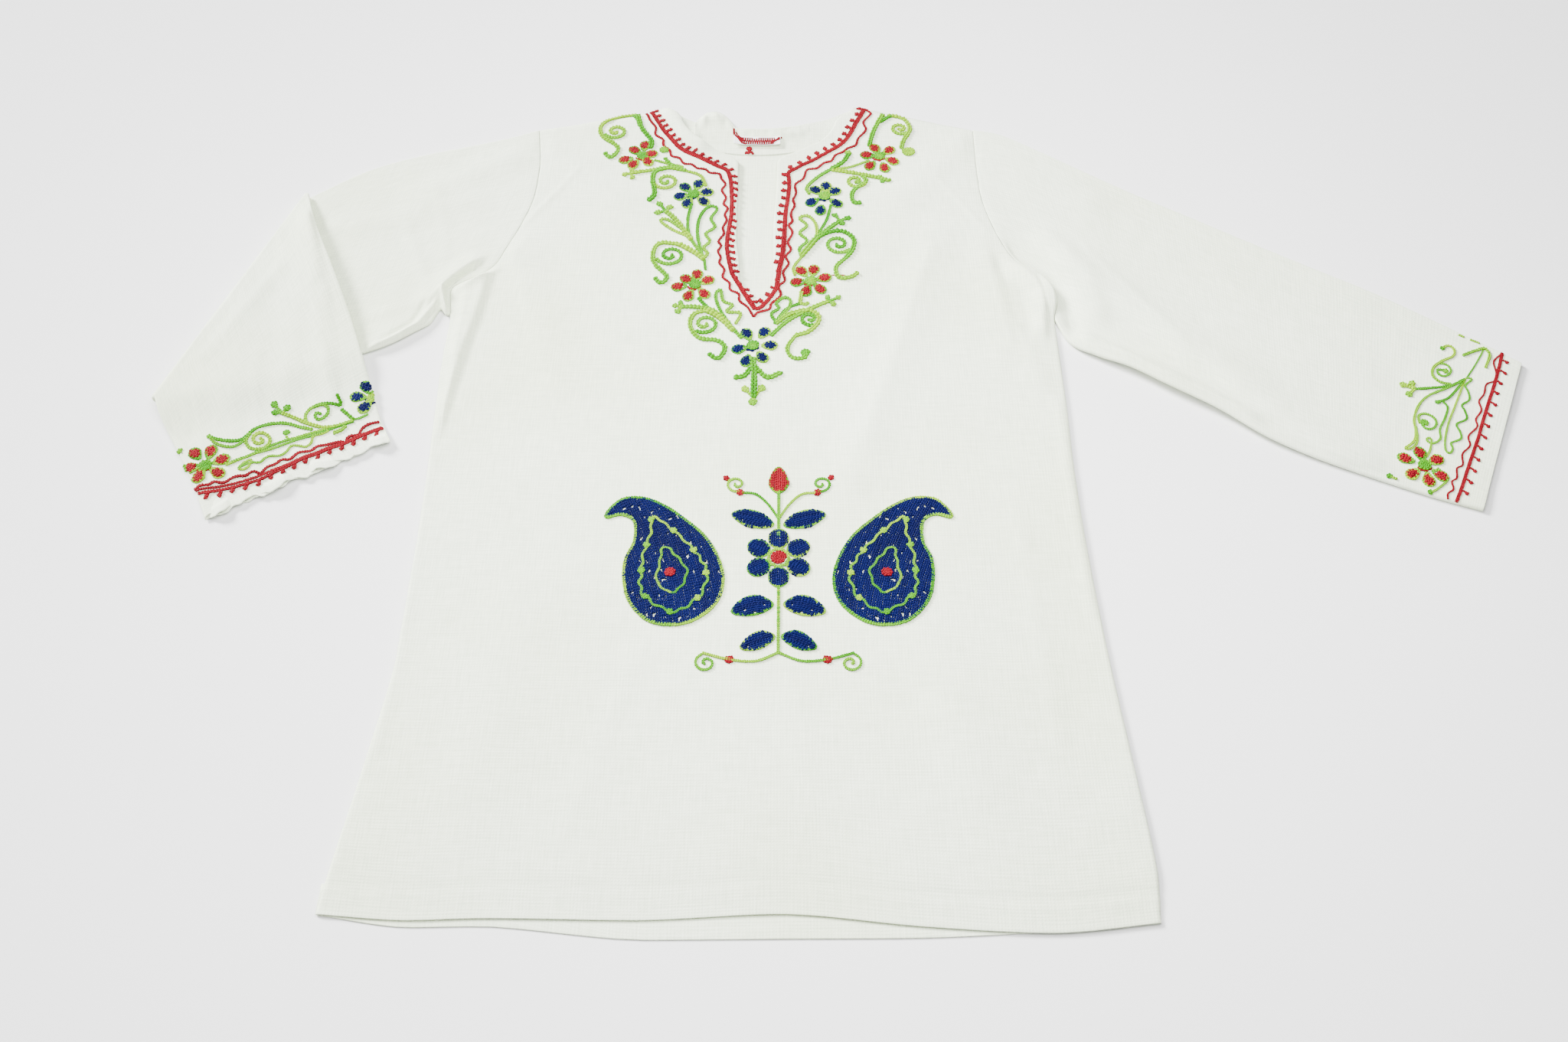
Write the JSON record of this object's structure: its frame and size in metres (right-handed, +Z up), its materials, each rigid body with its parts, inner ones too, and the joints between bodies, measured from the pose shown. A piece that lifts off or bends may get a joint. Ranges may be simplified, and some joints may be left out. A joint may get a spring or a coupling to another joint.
{
  "type": "embroidered peasant blouse",
  "caption": "Child's peasant blouse of thin white cotton with chain-stitch flowers at neck and cuffs, laid flat with one sleeve straight and the other folded over.",
  "frame": {"origin": "on the flat underside of the back panel, on the body's centre line, level with the middle of the garment's length", "axes": "+Z up from the surface it lies on, +Y towards the neck, +X towards the sleeve that lies straight out"},
  "size_m": [0.8237, 0.592, 0.0135],
  "materials": {
    "cotton": "matte thin plain weave with slubs",
    "tape": "fine satin-woven tape",
    "red_thread": "soft sheen of stranded cotton",
    "navy_thread": "soft sheen of stranded cotton",
    "lime_thread": "soft sheen of variegated stranded cotton"
  },
  "bodies": {
    "root": {"back_panel": "cotton", "front_panel": "cotton", "sleeve_right": "cotton", "sleeve_left": "cotton", "back_neck_facing": "cotton", "label": "tape"}
  },
  "joints": []
}
